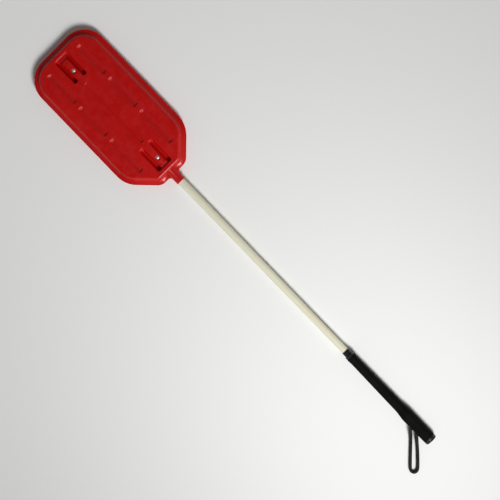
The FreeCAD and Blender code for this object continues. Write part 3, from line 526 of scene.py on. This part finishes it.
def braid_tree():
    """A tube along a line, whose skin rises and falls as the strands of a round braid do."""
    sockets = {
        "Geometry": ("NodeSocketGeometry", None),
        "Radius": ("NodeSocketFloat", 0.003),
        "Depth": ("NodeSocketFloat", 0.0002),
        "Strands": ("NodeSocketFloat", 8.0),
        "Turns": ("NodeSocketFloat", 170.0),
        "Step": ("NodeSocketFloat", 0.0005),
        "Sides": ("NodeSocketInt", 48),
        "Material": ("NodeSocketMaterial", None),
    }
    outputs = {"Geometry": "NodeSocketGeometry"}
    tree, given, result = new_group("round_braid", "GeometryNodeTree", sockets, outputs)
    line = add(tree, "GeometryNodeMeshToCurve", {"Mesh": given["Geometry"]}).outputs[0]
    spacing = {"Curve": line, "Length": given["Step"]}
    even = add(tree, "GeometryNodeResampleCurve", spacing, mode="LENGTH").outputs[0]
    along = add(tree, "GeometryNodeSplineParameter").outputs["Length"]
    kept = add(tree, "GeometryNodeCaptureAttribute", {"Geometry": even})
    kept.capture_items.new("FLOAT", "along")
    tree.links.new(along, kept.inputs["along"])
    round_section = {"Resolution": given["Sides"], "Radius": given["Radius"]}
    ring = add(tree, "GeometryNodeCurvePrimitiveCircle", round_section)
    index = add(tree, "GeometryNodeInputIndex").outputs[0]
    around = calc(tree, "DIVIDE", index, given["Sides"])
    side = add(tree, "GeometryNodeCaptureAttribute", {"Geometry": ring.outputs["Curve"]})
    side.capture_items.new("FLOAT", "around")
    tree.links.new(around, side.inputs["around"])
    swept = add(
        tree,
        "GeometryNodeCurveToMesh",
        {"Curve": kept.outputs["Geometry"], "Profile Curve": side.outputs["Geometry"], "Fill Caps": True},
    ).outputs[0]
    u, v = side.outputs["around"], kept.outputs["along"]
    turned = calc(tree, "MULTIPLY", u, given["Strands"])
    run = calc(tree, "MULTIPLY", v, given["Turns"])
    crowns = []
    for operation in ("ADD", "SUBTRACT"):
        lean = calc(tree, operation, turned, run)
        crowns.append(calc(tree, "SINE", calc(tree, "MULTIPLY", lean, 2 * math.pi)))
    highest = calc(tree, "MAXIMUM", crowns[0], crowns[1])
    lift = calc(tree, "MULTIPLY", calc(tree, "SUBTRACT", highest, 1.0), 0.5)
    depth = calc(tree, "MULTIPLY", lift, given["Depth"])
    normal = add(tree, "GeometryNodeInputNormal").outputs["Normal"]
    scaled = add(tree, "ShaderNodeVectorMath", {0: normal, "Scale": depth}, operation="SCALE")
    offset = scaled.outputs["Vector"]
    raised = add(tree, "GeometryNodeSetPosition", {"Geometry": swept, "Offset": offset}).outputs[0]
    own_map = add(tree, "ShaderNodeCombineXYZ", {"X": u, "Y": v}).outputs[0]
    mapped = add(
        tree,
        "GeometryNodeStoreNamedAttribute",
        {"Geometry": raised, "Name": "cord_map", "Value": own_map},
        data_type="FLOAT_VECTOR",
        domain="POINT",
    ).outputs[0]
    smooth = add(tree, "GeometryNodeSetShadeSmooth", {"Geometry": mapped}).outputs[0]
    real = add(tree, "GeometryNodeRealizeInstances", {"Geometry": smooth}).outputs[0]
    finish = {"Geometry": real, "Material": given["Material"]}
    painted = add(tree, "GeometryNodeSetMaterial", finish).outputs[0]
    tree.links.new(painted, result["Geometry"])
    return tree


def run_tree(piece, tree, **inputs):
    """Runs a geometry tree on a piece with these inputs, and keeps the result as its plain mesh."""
    modifier = piece.modifiers.new(tree.name, "NODES")
    modifier.node_group = tree
    for socket in tree.interface.items_tree:
        if socket.item_type == "SOCKET" and socket.in_out == "INPUT" and socket.name in inputs:
            modifier[socket.identifier] = inputs[socket.name]
    finished = bpy.data.meshes.new_from_object(piece.evaluated_get(bpy.context.evaluated_depsgraph_get()))
    piece.modifiers.clear()
    piece.data = finished
    return piece


def braided(name, line, tree, material):
    """A braided cord along a line, with the line's points."""
    points = [v.co.copy() for v in line.vertices]
    piece = bpy.data.objects.new(name, line)
    bpy.context.scene.collection.objects.link(piece)
    run_tree(piece, tree, Radius=CORD_DIAMETER / 2, Depth=BRAID_DEPTH, Material=material)
    return piece, points


def make_loop(tree, material):
    """The hanging loop, one braided cord from the knot and back to it."""
    piece, points = braided("hanging_loop_cord", cord_line("loop_line", LOOP_ROUTE), tree, material)
    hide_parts("hanging_loop")
    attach(piece, "paddle")
    return piece


def make_knot(tree, material):
    """The stopper knot: the cord wound on itself in a tight barrel that fills its room in the grip."""
    winding = KNOT_RADIUS - CORD_DIAMETER / 2
    run = KNOT_LENGTH - CORD_DIAMETER
    steps_in_a_turn = 12
    steps = steps_in_a_turn * KNOT_TURNS
    points = []
    for step in range(steps + 1):
        angle = 2 * math.pi * KNOT_TURNS * step / steps
        x = KNOT_STARTS + CORD_DIAMETER / 2 + run * step / steps
        points.append((x, winding * math.sin(angle), JOINT_LEVEL + winding * math.cos(angle)))
    piece, _ = braided("stopper_knot_winding", cord_line("knot_line", points), tree, material)
    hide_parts("loop_stopper_knot")
    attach(piece, "paddle")
    return piece


# The floor, the light and the camera

# Both lamps light the paddle from above and beyond its grip
LAMP_PLACE = (1.3, -0.22, 1.4)


def make_floor():
    """A plain pale floor that keeps the paddle's shadow, a little paler away from the grip: near the grip its
    colour carries painted shade that evens out the lamps' pool of light.
    """
    half = 6.0
    corners = [(-half, -half, 0), (half, -half, 0), (half, half, 0), (-half, half, 0)]
    mesh = bpy.data.meshes.new("floor")
    mesh.from_pydata(corners, [], [(0, 1, 2, 3)])
    floor = bpy.data.objects.new("floor", mesh)
    bpy.context.scene.collection.objects.link(floor)
    material, tree, shader, place = new_finish("floor_paper", Roughness=0.9, Specular_IOR_Level=0.1)
    from_grip = stretched(tree, place, (1.0, 1.0, 0.0), (0.4, 0.0, 0.0))
    away = add(tree, "ShaderNodeVectorMath", {0: from_grip}, operation="LENGTH").outputs["Value"]
    # Painted shade: the floor is darker near the grip, where the lamps' light pools
    near_painted_shade_tone, far_tone = (0.83, 0.83, 0.82, 1), (0.95, 0.95, 0.94, 1)
    join(tree, shader, mix_colour(tree, remap(tree, away, 0.1, 1.5), near_painted_shade_tone, far_tone))
    paint(floor, material)
    return floor


def soft_box(name, place, aim, side, spread, power):
    """A square studio lamp turned to a point, with its light held within a spread."""
    lamp = bpy.data.lights.new(name, "AREA")
    lamp.shape = "SQUARE"
    lamp.size, lamp.energy = side, power
    lamp.spread = math.radians(spread)
    holder = bpy.data.objects.new(name, lamp)
    bpy.context.scene.collection.objects.link(holder)
    holder.location = place
    holder.rotation_euler = (Vector(aim) - Vector(place)).to_track_quat("-Z", "Y").to_euler()
    return holder


def soft_light(towards, strength):
    """A wide, even light from one direction, whose shadows have soft edges."""
    lamp = bpy.data.lights.new("even_light", "SUN")
    lamp.angle, lamp.energy = math.radians(20.0), strength
    holder = bpy.data.objects.new("even_light", lamp)
    bpy.context.scene.collection.objects.link(holder)
    holder.rotation_euler = Vector(towards).to_track_quat("Z", "Y").to_euler()
    return holder


def make_world():
    """Soft light from all round, dimmer overhead, and a plain pale backdrop for the camera."""
    world = bpy.data.worlds.new("studio")
    world.use_nodes = True
    tree = world.node_tree
    background = tree.nodes["Background"]
    background.inputs["Color"].default_value = (1.0, 1.0, 1.0, 1)
    up = add(tree, "ShaderNodeTexCoord").outputs["Generated"]
    rise = add(tree, "ShaderNodeSeparateXYZ", {"Vector": up}).outputs["Z"]
    low, overhead, seen_tone = 0.30, 0.06, 0.88
    soft = remap(tree, rise, 0.35, 0.85, low, overhead)
    seen = add(tree, "ShaderNodeLightPath").outputs["Is Camera Ray"]
    strength = remap(tree, seen, 0.0, 1.0, soft, seen_tone, "LINEAR")
    tree.links.new(strength, background.inputs["Strength"])
    bpy.context.scene.world = world


def make_camera():
    """The photograph's view: from a little to the +Y side of straight above, with the shaft across it."""
    lean, turn = math.radians(8.0), math.radians(46.02)
    distance = 3.0
    across = Vector((0, math.cos(lean), -math.sin(lean)))
    towards = Vector((0, math.sin(lean), math.cos(lean)))
    right = math.cos(turn) * Vector((1, 0, 0)) + math.sin(turn) * across
    up = towards.cross(right)
    data = bpy.data.cameras.new("camera")
    data.lens = 110.0
    data.clip_end = 30.0
    camera = bpy.data.objects.new("camera", data)
    bpy.context.scene.collection.objects.link(camera)
    aim = Vector((0.0166, 0.0032, JOINT_LEVEL))
    columns = [right, up, towards, aim + towards * distance]
    matrix = camera.matrix_world.copy()
    for row in range(3):
        for column, direction in enumerate(columns):
            matrix[row][column] = direction[row]
    camera.matrix_world = matrix
    bpy.context.scene.camera = camera


scene = bpy.context.scene
scene.view_settings.view_transform = "Standard"

make_camera()
make_floor()
make_world()
soft_light(LAMP_PLACE, 1.62)
soft_box("lamp_beyond_grip", LAMP_PLACE, (0.25, 0.0, 0.0), 0.5, 60.0, 2.5)

red_plastic = blade_plastic()
for shell in ("blade_front_shell", "blade_back_shell"):
    paint(softened(shell, "paddle"), red_plastic)

for end in ("tip", "neck"):
    low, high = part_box(end + "_rivet")
    centre_x = (low.x + high.x) / 2
    # The rivet heads' tone is bright aluminium with a pink tint, which is painted reflection of the red blade
    # round them
    paint(nodes[end + "_rivet"], rivet_metal(end + "_rivet_metal", centre_x, (0.95, 0.87, 0.84, 1)))
    paint(nodes[end + "_rivet_washer"], rivet_metal(end + "_washer_metal", centre_x, (0.62, 0.61, 0.60, 1)))

paint(nodes["shaft"], shaft_fibreglass())
paint(nodes["grip_sleeve"], grip_rubber())
paint(nodes["grip_band"], black_plastic("band_plastic", 0.003, 0.34, 1.5))
paint(nodes["grip_butt_cap"], black_plastic("cap_plastic", 0.003, 0.30, 0.6))
paint(nodes["grip_tape"], woven_tape())
balls = ball_plastic()
for side in ("left", "right"):
    for lane in ("inner", "outer"):
        paint(nodes[f"{lane}_{side}_rattle_ball"], balls)
dowel = plug_wood()
paint(nodes["shaft_tip_plug"], dowel)
paint(nodes["shaft_butt_plug"], dowel)

cord = braided_cord()
braid = braid_tree()
make_knot(braid, cord)
make_loop(braid, cord)
